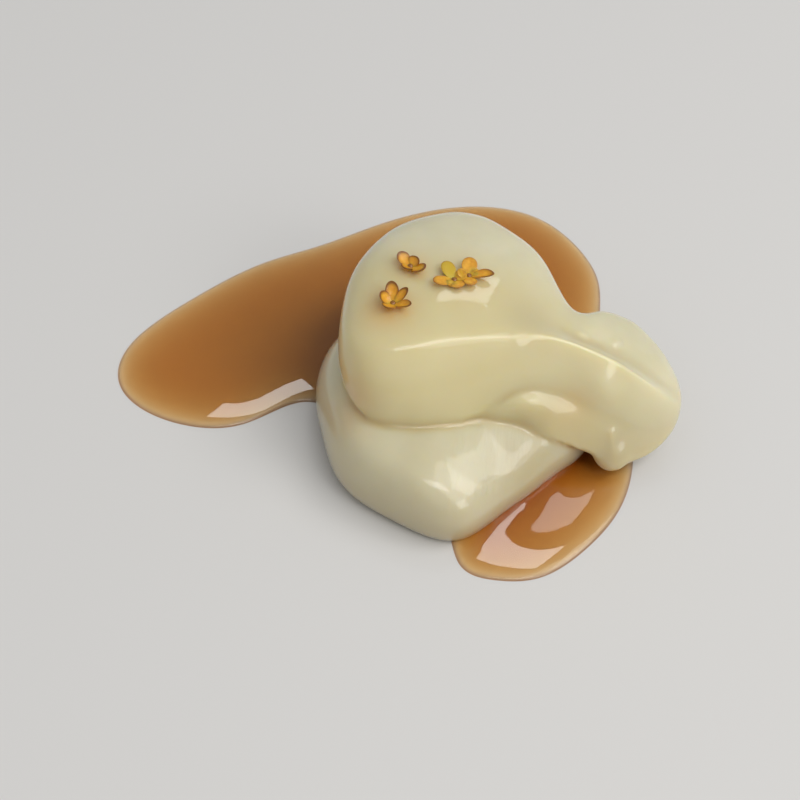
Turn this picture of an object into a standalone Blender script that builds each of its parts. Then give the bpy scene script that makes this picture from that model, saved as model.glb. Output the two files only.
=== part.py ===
"""A piece of soft brown sugar mochi, folded over on itself, lying in a pool of its syrup.

The dough is one solid. Its lower fold lies on the plate, a bend at the back carries it up,
and its upper fold lies on top, with a free end, the tongue, that droops to the right.
A few sugared blossoms are pressed into the top. The syrup is a second, thin solid.
+Z is up, +X is to the right, and the folds lie open towards -Y. The origin is on the
plate, under the middle of the dough.
"""

import math

import bmesh
import bpy
import numpy as np
from mathutils import Matrix, Vector

MM = 0.001

# ---- driving dimensions, in millimetres and degrees ----
# Lower fold: a flat pebble, with its outline as (direction, reach) from a centre.
LOWER_CENTRE = (-3.5, -1.5)
LOWER_REACH = (
    (12, 21.5),
    (60, 21.0),
    (114, 20.5),
    (160, 20.8),
    (183, 20.0),
    (201, 19.4),
    (225, 20.4),
    (252, 20.5),
    (268, 21.5),
    (278, 21.8),
    (288, 20.4),
    (303, 18.0),
    (320, 17.2),
    (338, 17.9),
    (354, 20.3),
)
# Its rings, from the middle of its foot to the middle of its top: (share of the reach, height,
# share of the slump).
LOWER_RINGS = (
    (0.5, -1.0, 0.0),
    (0.88, -0.7, 0.0),
    (1.0, 3.8, 0.2),
    (0.94, 8.6, 0.8),
    (0.76, 11.3, 1.0),
    (0.4, 11.8, 0.3),
)
# How much lower its shoulder lies in a direction: (direction, slump).
LOWER_SLUMP = ((240, 0.0), (262, 0.6), (280, 2.1), (295, 2.9), (312, 2.9), (328, 2.4), (345, 1.4), (368, 0.0))

# Upper fold: edges that run along it from its left end to the tip of the tongue.
LEFT_END = -21.1
RIGHT_END = 29.4
RIDGE = (  # the crisp edge between its top and its front wall
    (-22, -11.0, 22.8),
    (-12, -7.2, 22.8),
    (-3, -3.6, 22.8),
    (4, -1.5, 22.4),
    (9, 0.0, 21.3),
    (13, 0.6, 19.8),
    (17, 0.6, 18.1),
    (20, 0.6, 16.6),
    (24, 0.5, 13.9),
    (31, 0.8, 10.2),
)
GROOVE = (  # the foot of the front wall
    (-22, -12.2, 10.6),
    (-17, -13.3, 10.7),
    (-12, -13.0, 10.8),
    (-3, -9.9, 11.2),
    (2, -6.8, 13.0),
    (6, -4.6, 14.5),
    (12, -3.1, 13.0),
    (16.3, -3.2, 11.4),
    (20.6, -3.3, 9.0),
    (25, -3.5, 7.4),
    (31, -3.3, 5.8),
)
LIP = (  # the lip below the wall, between the groove and the edge
    (-22, -10.6, 9.9),
    (-3, -8.9, 10.4),
    (2, -7.1, 11.4),
    (6, -6.3, 13.0),
    (9, -5.7, 12.5),
    (12, -5.1, 11.5),
    (16.3, -5.1, 9.0),
    (20.6, -5.3, 6.8),
    (25, -4.8, 5.8),
    (31, -4.0, 5.2),
)
SKIRT = (  # the edge of the thin lip below the wall, hidden in the lower fold at the left
    (-22, -9.0, 9.3),
    (-3, -7.8, 9.6),
    (2.7, -7.2, 10.0),
    (6.1, -6.7, 9.5),
    (8.6, -7.2, 9.7),
    (11.0, -7.7, 9.3),
    (13.5, -7.2, 7.8),
    (17.3, -6.9, 5.7),
    (20.7, -7.0, 4.3),
    (24.3, -6.1, 4.1),
    (31, -4.6, 4.6),
)
BACK = (  # its back edge
    (-22, 23.3, 16.0),
    (-9, 24.0, 16.0),
    (-3, 23.8, 16.0),
    (2, 21.1, 16.0),
    (6.5, 17.6, 15.5),
    (9.5, 13.3, 14.5),
    (11.8, 10.2, 14.0),
    (14.5, 11.4, 13.0),
    (19.2, 13.4, 11.2),
    (23, 12.9, 9.8),
    (27, 11.3, 8.6),
    (31, 9.8, 7.6),
)
TOP = (  # height of the top, behind the ridge
    (-22, 23.6),
    (-14, 24.0),
    (-7, 24.1),
    (-1, 23.9),
    (3, 23.3),
    (7, 21.8),
    (11, 19.3),
    (15, 17.8),
    (19.5, 15.9),
    (24, 13.7),
    (31, 10.5),
)
UNDERSIDE = (  # height of its underside, which hangs free at the right
    (-22, 9.5),
    (10, 9.0),
    (16, 7.6),
    (21.5, 5.4),
    (26, 4.4),
    (31, 3.6),
)
MIDDLE = ((-22, 4.0, 17.5), (-6, 6.5, 17.0), (20, 3.0, 10.5), (31, 2.4, 7.6))
LEFT_LENGTH = 16.0  # how far the rounding of each end reaches along it
RIGHT_LENGTH = 9.5
END_TURNS = (84, 68, 50, 32, 12)  # where the rings of a round end lie, as angles along its rounding
MIDDLE_RINGS = 12
# How far the front wall stands out, at each x.
WALL_BULGE = ((-22, 1.4), (2, 1.3), (9, 0.9), (16, 0.6), (31, 0.5))
SKIRT_THICKNESS = 1.8
# How far the top dips just behind the ridge, at each x.
HOLLOW = ((-22, -0.35), (0, -0.35), (5, 0.1), (10, 0.5), (16, 0.8), (20, 0.75), (24, 0.5), (31, 0.3))
CROWN = 0.35  # how much higher the middle of the top is than its back
# Edges that stay crisp, each with its crease at each x.
CRISP_EDGES = {
    "ridge": ((-22, 0.25), (2, 0.3), (9, 0.6), (25, 0.6), (28, 0.0), (31, 0.0)),
    "groove": ((-22, 0.35), (4, 0.35), (12, 0.0), (31, 0.0)),
    "skirt": ((-22, 0.0), (4, 0.1), (10, 0.45), (24, 0.45), (31, 0.2)),
}
SQUARE_FRONT = 3.1  # how square the ends are, seen from above and from the front; 2 is round
SQUARE_BACK = 2.0
SQUARE_TIP = 2.2
SQUARE_LEFT_HEIGHT = 2.8
SQUARE_TIP_HEIGHT = 2.6

# Bend at the back, which carries the lower fold up into the upper one.
BEND_CENTRE = (-6.0, 10.5)
BEND_REACH = (14.8, 13.6)
BEND_RINGS = ((0.4, -1.0), (0.82, -0.8), (0.99, 4.0), (1.0, 10.0), (0.93, 17.0), (0.72, 21.6), (0.4, 22.6))

# The joints between the folds are smoothed away behind, and stay crisp in front. Each range
# goes from where the smoothing starts to where it is full.
BLEND_BEHIND = (6, 14)
BLEND_BESIDE = (16, 12)
BLEND_BELOW = (21, 15)
BLEND_LEAST = 0.1  # what stays of the smoothing on the top
EDGE_PASSES = 5
BLEND_PASSES = 80

DRIP = (20.1, -5.1, 4.9)  # middle of the drop that hangs from the tongue
DRIP_RADIUS = (3.0, 1.5, 3.3)
DRIP_TILT = -39  # about the x axis, so that it follows the lip
DRIP_BLEND = (5.0, 3.0)  # distance from the drop where the smoothing of its joint ends and is full
DRIP_PASSES = 12

# Osmanthus blossoms on the top: (x, y, petals as (direction, length, width, lift)).
BLOSSOMS = (
    (-5.7, 5.7, ((126, 3.0, 2.3, 0.1), (208, 3.2, 2.0, 0.0), (292, 2.0, 2.3, 0.0), (35, 1.9, 2.0, 0.1))),
    (-3.7, 6.9, ((96, 2.8, 2.5, 0.2), (4, 3.5, 1.5, 0.1), (282, 2.2, 2.1, 0.0), (188, 1.8, 1.9, 0.1))),
    (-12.1, 7.3, ((140, 2.3, 2.1, 0.2), (50, 2.0, 2.1, 0.2), (328, 2.4, 2.3, 0.1), (238, 2.0, 2.0, 0.2))),
    (-13.6, 0.1, ((100, 2.5, 2.0, 0.3), (40, 2.6, 1.6, 0.2), (340, 3.0, 1.6, 0.0), (200, 2.2, 2.3, 0.1))),
)
PETAL_THICKNESS = 0.9
PETAL_SINK = 0.1  # how far the middle of a petal lies above the dough

# Syrup: a thin pool round the back of the dough, with the front left corner left dry.
POOL = (
    (-25.4, 0.2),
    (-33.0, -5.4),
    (-41.0, -7.6),
    (-48.6, -5.7),
    (-53.4, -0.5),
    (-52.6, 8.0),
    (-45.6, 18.2),
    (-37.0, 27.3),
    (-28.0, 33.6),
    (-18.0, 41.3),
    (-7.0, 46.8),
    (3.0, 47.4),
    (10.5, 43.2),
    (15.8, 35.5),
    (17.0, 27.0),
    (18.4, 17.0),
    (22.2, 7.0),
    (23.8, -2.0),
    (22.6, -11.0),
    (18.6, -19.0),
    (12.6, -25.6),
    (6.0, -27.5),
    (0.6, -25.6),
    (-2.6, -17.0),
    (-9.0, -8.0),
    (-17.0, -2.5),
)
POOL_RINGS = ((0.0, 0.0), (0.25, 0.5), (0.9, 0.9), (2.0, 1.15), (3.4, 1.2))  # (inset, height)
POOL_STEPS = 4  # steps between two points of the outline
POOL_CLEARANCE = 0.35

VOXEL = 0.6
TRIANGLES = 6500  # of the dough without its blossoms
FINE = 0.01  # weld distance of the dough's mesh


def clear_scene():
    for obj in list(bpy.data.objects):
        bpy.data.objects.remove(obj, do_unlink=True)


def curve_at(points, x, column=1):
    """Reads a smooth curve through points, given as (x, ...) rows, at x."""
    places = np.array([point[0] for point in points], float)
    values = np.array([point[column] for point in points], float)
    step = np.diff(places)
    slope = np.diff(values) / step
    system = np.eye(len(places))
    right = np.zeros(len(places))
    for i in range(1, len(places) - 1):
        system[i, i - 1 : i + 2] = step[i - 1], 2 * (step[i - 1] + step[i]), step[i]
        right[i] = 6 * (slope[i] - slope[i - 1])
    bend = np.linalg.solve(system, right)
    i = int(np.clip(np.searchsorted(places, x, side="right") - 1, 0, len(step) - 1))
    a = (places[i + 1] - x) / step[i]
    b = 1 - a
    curved = ((a**3 - a) * bend[i] + (b**3 - b) * bend[i + 1]) * step[i] ** 2 / 6
    return a * values[i] + b * values[i + 1] + curved


def mesh_object(name, points, faces):
    mesh = bpy.data.meshes.new(name)
    mesh.from_pydata([Vector(point) * MM for point in points], [], faces)
    obj = bpy.data.objects.new(name, mesh)
    bpy.context.scene.collection.objects.link(obj)
    return obj


def passing_through(rings, sharp):
    """Cage points whose smooth surface goes through the given rings of points."""
    grid = np.array(rings, float)
    rows, count = grid.shape[:2]
    around = np.eye(count) * 4 + np.eye(count, k=1) + np.eye(count, k=-1)
    around[0, -1] = around[-1, 0] = 1
    along = np.eye(rows) * 4 + np.eye(rows, k=1) + np.eye(rows, k=-1)
    along[0, :2] = along[-1, -2:] = 0
    along[0, 0] = along[-1, -1] = 6
    soft = np.linalg.solve(along / 6, grid.reshape(rows, -1)).reshape(grid.shape)
    soft = np.array([np.linalg.solve(around / 6, ring) for ring in soft])
    for place in sharp:
        soft[:, place] = grid[:, place]
    return soft


def cage(name, rings, first, last, sharp):
    """A soft closed body: rings of points joined by quads and closed by a point at each end.

    The edges that run from ring to ring at a place in sharp stay as crisp as its curve over x says.
    """
    rings = passing_through(rings, sharp)
    count = len(rings[0])
    points = [first] + [point for ring in rings for point in ring] + [last]
    faces = []
    for row in range(len(rings) - 1):
        start = 1 + row * count
        for i in range(count):
            j = (i + 1) % count
            faces.append((start + i, start + j, start + count + j, start + count + i))
    end = len(points) - 1
    for i in range(count):
        j = (i + 1) % count
        faces.append((0, 1 + j, 1 + i))
        faces.append((end - count + i, end - count + j, end))
    obj = mesh_object(name, points, faces)
    creases = obj.data.attributes.new("crease_edge", "FLOAT", "EDGE")
    for edge in obj.data.edges:
        for place, crease in sharp.items():
            rails = [(vertex - 1) % count == place and 0 < vertex < end for vertex in edge.vertices]
            if all(rails):
                along = sum(points[vertex][0] for vertex in edge.vertices) / 2
                creases.data[edge.index].value = np.interp(along, *zip(*crease))
    soft = obj.modifiers.new("soft", "SUBSURF")
    soft.levels = soft.render_levels = 3
    return obj


def settled(obj):
    """The object with its modifiers worked into its mesh."""
    bpy.context.view_layer.update()
    graph = bpy.context.evaluated_depsgraph_get()
    mesh = bpy.data.meshes.new_from_object(obj.evaluated_get(graph))
    obj.modifiers.clear()
    obj.data = mesh
    return obj


def pebble(name, centre, reach_of, rings, slump_of=None, count=36):
    """A flat round body, with its reach in each direction and its rings from foot to top.

    If it slumps, slump_of tells how far in a direction, and each ring ends with its share of that.
    """
    directions = [2 * math.pi * i / count for i in range(count)]
    loops = []
    for share, z, *low in rings:
        loop = []
        for angle in directions:
            turn = math.degrees(angle)
            reach = share * reach_of(turn)
            height = z - low[0] * slump_of(turn) if slump_of else z
            loop.append((centre[0] + reach * math.cos(angle), centre[1] + reach * math.sin(angle), height))
        loops.append(loop)
    foot = (centre[0], centre[1], rings[0][1])
    crown = (centre[0], centre[1], rings[-1][1])
    return cage(name, loops, foot, crown, {})


def lower_reach(angle):
    """Reach of the lower fold in a direction, smooth all the way round."""
    round_again = [(a + turn, r) for turn in (-360, 0, 360) for a, r in LOWER_REACH]
    return curve_at(round_again, angle)


def lower_slump(angle):
    """How much lower the shoulder of the lower fold lies in a direction."""
    return np.interp(angle if angle > 180 else angle + 360, *zip(*LOWER_SLUMP))


def bend_reach(angle):
    """Reach of the bend: a full oval."""
    c, s = abs(math.cos(math.radians(angle))), abs(math.sin(math.radians(angle)))
    return ((c / BEND_REACH[0]) ** 2.2 + (s / BEND_REACH[1]) ** 2.2) ** (-1 / 2.2)


def upper_section(x):
    """Named points (y, z) round the upper fold at x, from the ridge over the top and back under."""

    def at(curve):
        return Vector((curve_at(curve, x, 1), curve_at(curve, x, 2)))

    ridge, groove, skirt, back = at(RIDGE), at(GROOVE), at(SKIRT), at(BACK)
    top, under = curve_at(TOP, x), curve_at(UNDERSIDE, x)
    bulge = curve_at(WALL_BULGE, x)
    depth = back.x - ridge.x

    def across(share, height):
        return Vector((ridge.x + share * depth, height))

    return {
        "ridge": ridge,
        "hollow": across(0.22, 0.7 * ridge.y + 0.3 * top - curve_at(HOLLOW, x)),
        "top": across(0.48, top),
        "top back": across(0.76, top - CROWN),
        "shoulder": across(0.95, back.y + 0.66 * (top - back.y)),
        "back": back,
        "back foot": across(0.92, under + 0.35 * (back.y - under)),
        "underside": across(0.68, under),
        "under front": across(0.33, 0.7 * under + 0.3 * skirt.y),
        "under skirt": skirt + Vector((SKIRT_THICKNESS, -0.5 * SKIRT_THICKNESS)),
        "skirt": skirt,
        "lip": at(LIP),
        "groove": groove,
        "wall": groove.lerp(ridge, 0.28) + Vector((-0.65 * bulge, 0)),
        "wall top": groove.lerp(ridge, 0.62) + Vector((-bulge, 0)),
    }


def end_share(x, squareness):
    """How much of its section the upper fold keeps near its two round ends."""
    left = (LEFT_END + LEFT_LENGTH - x) / LEFT_LENGTH
    right = (x - RIGHT_END + RIGHT_LENGTH) / RIGHT_LENGTH
    along = min(max(left, right, 0.0), 1.0)
    return (1 - along**squareness) ** (1 / squareness)


def rounded_section(x):
    """Named points (x, y, z) round the upper fold at x, drawn in near its two round ends."""
    middle = Vector((curve_at(MIDDLE, x, 1), curve_at(MIDDLE, x, 2)))
    places = {}
    for name, point in upper_section(x).items():
        off = point - middle
        left_squareness = SQUARE_FRONT if off.x < 0 else SQUARE_BACK
        wide = end_share(x, left_squareness if x < 0 else SQUARE_TIP)
        high = end_share(x, SQUARE_LEFT_HEIGHT if x < 0 else SQUARE_TIP_HEIGHT)
        places[name] = (x, middle.x + off.x * wide, middle.y + off.y * high)
    return places


def upper_fold():
    rounding = [1 - math.sin(math.radians(turn)) for turn in END_TURNS]
    left_steps = [LEFT_END + LEFT_LENGTH * share for share in rounding]
    right_steps = [RIGHT_END - RIGHT_LENGTH * share for share in reversed(rounding)]
    middle_steps = np.linspace(left_steps[-1], right_steps[0], MIDDLE_RINGS + 2)[1:-1]
    steps = [*left_steps, *middle_steps, *right_steps]
    loops = [list(rounded_section(x).values()) for x in steps]
    first = (LEFT_END, curve_at(MIDDLE, LEFT_END, 1), curve_at(MIDDLE, LEFT_END, 2))
    last = (RIGHT_END, curve_at(MIDDLE, RIGHT_END, 1), curve_at(MIDDLE, RIGHT_END, 2))
    names = list(upper_section(0))
    sharp = {names.index(edge): crease for edge, crease in CRISP_EDGES.items()}
    return cage("upper_fold", loops, first, last, sharp)


def facing_out(obj):
    mesh = obj.data
    work = bmesh.new()
    work.from_mesh(mesh)
    bmesh.ops.recalc_face_normals(work, faces=work.faces)
    if work.calc_volume(signed=True) < 0:
        bmesh.ops.reverse_faces(work, faces=work.faces)
    work.to_mesh(mesh)
    work.free()
    return obj


def share_of(value, span, least=0.0):
    """How far a value has come along a range, from least to 1."""
    return min(max((value - span[0]) / (span[1] - span[0]), least), 1)


def blend_weight(point):
    """How far the joint between two folds is smoothed away at a point."""
    x, y, z = point / MM
    return share_of(y, BLEND_BEHIND) * share_of(x, BLEND_BESIDE) * share_of(z, BLEND_BELOW, BLEND_LEAST)


def drip_weight(point):
    """How far the joint of the drop is smoothed away at a point."""
    return share_of((point / MM - Vector(DRIP)).length, DRIP_BLEND)


def smooth_by(obj, weight, repeats):
    group = obj.vertex_groups.new(name="soft")
    for vertex in obj.data.vertices:
        group.add([vertex.index], weight(vertex.co), "REPLACE")
    smooth = obj.modifiers.new("smooth", "SMOOTH")
    smooth.vertex_group = group.name
    smooth.factor = 0.5
    smooth.iterations = repeats
    settled(obj)
    obj.vertex_groups.clear()


def fuse(obj, others):
    """One body of an object and all the others, which are used up."""
    group = bpy.data.collections.new("others")
    for other in others:
        group.objects.link(other)
    join = obj.modifiers.new("join", "BOOLEAN")
    join.operation = "UNION"
    join.operand_type = "COLLECTION"
    join.collection = group
    settled(obj)
    for other in others:
        bpy.data.objects.remove(other, do_unlink=True)
    bpy.data.collections.remove(group)


def ellipsoid(centre, radii, turn=0.0, axis="Z", subdivisions=3):
    """An ellipsoid turned by some degrees about an axis through its centre."""
    mesh = bpy.data.meshes.new("ellipsoid")
    work = bmesh.new()
    bmesh.ops.create_icosphere(work, subdivisions=subdivisions, radius=MM)
    place = Matrix.Translation(Vector(centre) * MM) @ Matrix.Rotation(math.radians(turn), 4, axis)
    bmesh.ops.transform(work, matrix=place @ Matrix.Diagonal((*radii, 1)), verts=work.verts)
    work.to_mesh(mesh)
    work.free()
    obj = bpy.data.objects.new("ellipsoid", mesh)
    bpy.context.scene.collection.objects.link(obj)
    return obj


def flat_foot(obj):
    """Cuts the object off level with the plate."""
    work = bmesh.new()
    work.from_mesh(obj.data)
    everything = work.verts[:] + work.edges[:] + work.faces[:]
    cut = bmesh.ops.bisect_plane(
        work, geom=everything, plane_co=(0, 0, 0), plane_no=(0, 0, 1), clear_inner=True
    )
    rim = [item for item in cut["geom_cut"] if isinstance(item, bmesh.types.BMEdge)]
    bmesh.ops.contextual_create(work, geom=rim)
    bmesh.ops.remove_doubles(work, verts=work.verts, dist=FINE * MM)
    bmesh.ops.triangulate(work, faces=work.faces)
    work.to_mesh(obj.data)
    work.free()


def dough():
    body = facing_out(settled(pebble("mochi", LOWER_CENTRE, lower_reach, LOWER_RINGS, lower_slump)))
    bend = facing_out(settled(pebble("bend", BEND_CENTRE, bend_reach, BEND_RINGS)))
    upper = facing_out(settled(upper_fold()))
    fuse(body, [bend, upper, ellipsoid(DRIP, DRIP_RADIUS, DRIP_TILT, axis="X")])
    even = body.modifiers.new("even", "REMESH")
    even.mode = "VOXEL"
    even.voxel_size = VOXEL * MM
    settled(body)
    smooth_by(body, lambda point: 1.0, EDGE_PASSES)
    smooth_by(body, blend_weight, BLEND_PASSES)
    smooth_by(body, drip_weight, DRIP_PASSES)
    fewer = body.modifiers.new("fewer", "DECIMATE")
    fewer.ratio = TRIANGLES / (2 * len(body.data.polygons))
    settled(body)
    flat_foot(body)
    return body


def blossoms(body):
    """Petals that lie on the dough, each sunk into it by almost half its thickness."""
    petals = []
    for x, y, leaves in BLOSSOMS:
        for direction, length, width, lift in leaves:
            angle = math.radians(direction)
            place = Vector((x + 0.55 * length * math.cos(angle), y + 0.55 * length * math.sin(angle), 0))
            _, point, _, _ = body.ray_cast((place + Vector((0, 0, 40))) * MM, Vector((0, 0, -1)))
            centre = (place.x, place.y, point.z / MM + PETAL_SINK + lift)
            radii = (length / 2, width / 2, PETAL_THICKNESS / 2)
            petals.append(ellipsoid(centre, radii, direction, subdivisions=2))
    return petals


def pool_outline():
    """Points round the pool, with the outward direction at each."""
    count = len(POOL)
    around = [(i, *POOL[i % count]) for i in range(-3, count + 4)]
    steps = [i / POOL_STEPS for i in range(count * POOL_STEPS)]
    points = [Vector((curve_at(around, t, 1), curve_at(around, t, 2))) for t in steps]
    outward = []
    for i in range(len(points)):
        along = points[(i + 1) % len(points)] - points[i - 1]
        outward.append(Vector((along.y, -along.x)).normalized())
    return points, outward


def pool(body):
    points, outward = pool_outline()
    if sum(a.x * b.y - a.y * b.x for a, b in zip(points, points[1:] + points[:1])) < 0:
        outward = [-direction for direction in outward]
    count = len(points)
    verts = []
    for inset, z in POOL_RINGS:
        for point, direction in zip(points, outward):
            verts.append((*(point - inset * direction), z))
    faces = [tuple(range(count))[::-1]]
    for ring in range(len(POOL_RINGS) - 1):
        start = ring * count
        for i in range(count):
            j = (i + 1) % count
            faces.append((start + i, start + j, start + count + j, start + count + i))
    faces.append(tuple(range((len(POOL_RINGS) - 1) * count, len(POOL_RINGS) * count)))
    syrup = facing_out(mesh_object("syrup_pool", verts, faces))

    cutter = bpy.data.objects.new("dough_room", body.data.copy())
    bpy.context.scene.collection.objects.link(cutter)
    grow = cutter.modifiers.new("grow", "DISPLACE")
    grow.strength = POOL_CLEARANCE * MM
    grow.mid_level = 0
    settled(cutter)
    cut = syrup.modifiers.new("cut", "BOOLEAN")
    cut.operation = "DIFFERENCE"
    cut.object = cutter
    settled(syrup)
    bpy.data.objects.remove(cutter, do_unlink=True)
    return syrup


def material(name, color, roughness, alpha=1.0):
    made = bpy.data.materials.new(name)
    made.use_nodes = True
    shader = made.node_tree.nodes["Principled BSDF"]
    shader.inputs["Base Color"].default_value = (*color, 1)
    shader.inputs["Roughness"].default_value = roughness
    shader.inputs["Metallic"].default_value = 0
    shader.inputs["Alpha"].default_value = alpha
    return made


def finish(obj, finish_material, collection):
    obj.data.materials.clear()
    obj.data.materials.append(finish_material)
    obj.data.shade_smooth()
    obj.data.set_sharp_from_angle(angle=math.radians(50))
    for holder in list(obj.users_collection):
        holder.objects.unlink(obj)
    collection.objects.link(obj)


def main():
    clear_scene()
    whole = bpy.data.collections.new("brown_sugar_mochi")
    bpy.context.scene.collection.children.link(whole)
    mochi = dough()
    syrup = pool(mochi)
    fuse(mochi, blossoms(mochi))
    finish(mochi, material("ivory_dough", (0.66, 0.58, 0.36), 0.25), whole)
    finish(syrup, material("amber_syrup", (0.35, 0.13, 0.03), 0.08, alpha=0.45), whole)


main()
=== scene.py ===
"""The looks of a piece of soft brown sugar mochi that lies in a pool of its syrup.

The dough and the syrup take the shapes of their solids at a finer grain: the same edges, rings
and ranges, in millimetres, with a finer mesh. The blossoms on top are pieces of their own.
"""

import math
from contextlib import contextmanager

import bmesh
import bpy
import numpy as np
from mathutils import Matrix, Vector, noise
from mathutils.bvhtree import BVHTree
from mathutils.geometry import delaunay_2d_cdt
from mathutils.kdtree import KDTree


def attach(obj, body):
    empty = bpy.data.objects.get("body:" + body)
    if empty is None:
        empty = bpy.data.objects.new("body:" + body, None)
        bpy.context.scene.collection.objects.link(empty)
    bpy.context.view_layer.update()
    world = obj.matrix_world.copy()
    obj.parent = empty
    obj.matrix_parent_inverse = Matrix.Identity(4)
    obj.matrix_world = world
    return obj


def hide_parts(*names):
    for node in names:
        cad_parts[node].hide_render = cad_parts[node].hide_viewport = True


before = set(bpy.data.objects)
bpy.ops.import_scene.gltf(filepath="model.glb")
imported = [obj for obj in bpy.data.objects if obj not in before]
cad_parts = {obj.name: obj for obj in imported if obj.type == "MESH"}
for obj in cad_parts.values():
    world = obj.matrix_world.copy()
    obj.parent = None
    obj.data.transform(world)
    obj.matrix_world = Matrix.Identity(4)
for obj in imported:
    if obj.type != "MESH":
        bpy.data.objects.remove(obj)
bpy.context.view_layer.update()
MM = 0.001

# ---- camera: where the photograph was taken from, in millimetres, with a longer lens ----
CAMERA_PLACE = (0.0, -199.4, 227.9)
CAMERA_AIM = (-11.1, -3.9, 8.0)
CAMERA_ROLL = 5.6  # degrees
SENSOR_WIDTH = 36.0
LENS = 92.0
FLOOR_REACH = 3000.0

# ---- dough, in millimetres and degrees, as in the solid ----
# Lower fold: a flat pebble, with its outline as (direction, reach) from a centre.
LOWER_CENTRE = (-3.5, -1.5)
LOWER_REACH = (
    (12, 21.5),
    (60, 21.0),
    (114, 20.5),
    (160, 20.8),
    (183, 20.0),
    (201, 19.4),
    (225, 20.4),
    (252, 20.5),
    (268, 21.5),
    (278, 21.8),
    (288, 20.4),
    (303, 18.0),
    (320, 17.2),
    (338, 17.9),
    (354, 20.3),
)
# Its rings from foot to top: (share of the reach, height, share of the slump).
LOWER_RINGS = (
    (0.5, -1.0, 0.0),
    (0.88, -0.7, 0.0),
    (1.0, 3.8, 0.2),
    (0.94, 8.6, 0.8),
    (0.76, 11.3, 1.0),
    (0.4, 11.8, 0.3),
)
# How much lower its shoulder lies in a direction: (direction, slump).
LOWER_SLUMP = (
    (240, 0.0),
    (262, 0.6),
    (280, 2.1),
    (295, 2.9),
    (312, 2.9),
    (328, 2.4),
    (345, 1.4),
    (368, 0.0),
)

# Upper fold: edges that run along it from its left end to the tip of the tongue.
LEFT_END = -21.1
RIGHT_END = 29.4
RIDGE = (  # the crisp edge between its top and its front wall
    (-22, -11.0, 22.8),
    (-12, -7.2, 22.8),
    (-3, -3.6, 22.8),
    (4, -1.5, 22.4),
    (9, 0.0, 21.3),
    (13, 0.6, 19.8),
    (17, 0.6, 18.1),
    (20, 0.6, 16.6),
    (24, 0.5, 13.9),
    (31, 0.8, 10.2),
)
GROOVE = (  # the foot of the front wall
    (-22, -12.2, 10.6),
    (-17, -13.3, 10.7),
    (-12, -13.0, 10.8),
    (-3, -9.9, 11.2),
    (2, -6.8, 13.0),
    (6, -4.6, 14.5),
    (12, -3.1, 13.0),
    (16.3, -3.2, 11.4),
    (20.6, -3.3, 9.0),
    (25, -3.5, 7.4),
    (31, -3.3, 5.8),
)
LIP = (  # the lip below the wall, between the groove and the edge
    (-22, -10.6, 9.9),
    (-3, -8.9, 10.4),
    (2, -7.1, 11.4),
    (6, -6.3, 13.0),
    (9, -5.7, 12.5),
    (12, -5.1, 11.5),
    (16.3, -5.1, 9.0),
    (20.6, -5.3, 6.8),
    (25, -4.8, 5.8),
    (31, -4.0, 5.2),
)
SKIRT = (  # the edge of the thin lip, hidden in the lower fold at the left
    (-22, -9.0, 9.3),
    (-3, -7.8, 9.6),
    (2.7, -7.2, 10.0),
    (6.1, -6.7, 9.5),
    (8.6, -7.2, 9.7),
    (11.0, -7.7, 9.3),
    (13.5, -7.2, 7.8),
    (17.3, -6.9, 5.7),
    (20.7, -7.0, 4.3),
    (24.3, -6.1, 4.1),
    (31, -4.6, 4.6),
)
BACK = (  # its back edge
    (-22, 23.3, 16.0),
    (-9, 24.0, 16.0),
    (-3, 23.8, 16.0),
    (2, 21.1, 16.0),
    (6.5, 17.6, 15.5),
    (9.5, 13.3, 14.5),
    (11.8, 10.2, 14.0),
    (14.5, 11.4, 13.0),
    (19.2, 13.4, 11.2),
    (23, 12.9, 9.8),
    (27, 11.3, 8.6),
    (31, 9.8, 7.6),
)
TOP = (  # height of the top, behind the ridge
    (-22, 23.6),
    (-14, 24.0),
    (-7, 24.1),
    (-1, 23.9),
    (3, 23.3),
    (7, 21.8),
    (11, 19.3),
    (15, 17.8),
    (19.5, 15.9),
    (24, 13.7),
    (31, 10.5),
)
# Height of its underside, which hangs free at the right.
UNDERSIDE = ((-22, 9.5), (10, 9.0), (16, 7.6), (21.5, 5.4), (26, 4.4), (31, 3.6))
# Where the middle of its section lies.
MIDDLE = ((-22, 4.0, 17.5), (-6, 6.5, 17.0), (20, 3.0, 10.5), (31, 2.4, 7.6))
LEFT_LENGTH = 16.0  # how far the rounding of each end reaches along it
RIGHT_LENGTH = 9.5
END_TURNS = (84, 68, 50, 32, 12)  # where the rings of a round end lie, as angles along its rounding
MIDDLE_RINGS = 12
# How far the front wall stands out, at each x.
WALL_BULGE = ((-22, 1.4), (2, 1.3), (9, 0.9), (16, 0.6), (31, 0.5))
SKIRT_THICKNESS = 1.8
# How far the top dips just behind the ridge, at each x.
HOLLOW = ((-22, -0.35), (0, -0.35), (5, 0.1), (10, 0.5), (16, 0.8), (20, 0.75), (24, 0.5), (31, 0.3))
CROWN = 0.35  # how much higher the middle of the top is than its back
# Edges that stay crisp, each with its crease at each x.
CRISP_EDGES = {
    "ridge": ((-22, 0.25), (2, 0.3), (9, 0.6), (25, 0.6), (28, 0.0), (31, 0.0)),
    "groove": ((-22, 0.35), (4, 0.35), (12, 0.0), (31, 0.0)),
    "skirt": ((-22, 0.0), (4, 0.1), (10, 0.45), (24, 0.45), (31, 0.2)),
}
SQUARE_FRONT = 3.1  # how square the ends are, seen from above and from the front; 2 is round
SQUARE_BACK = 2.0
SQUARE_TIP = 2.2
SQUARE_LEFT_HEIGHT = 2.8
SQUARE_TIP_HEIGHT = 2.6

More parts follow.
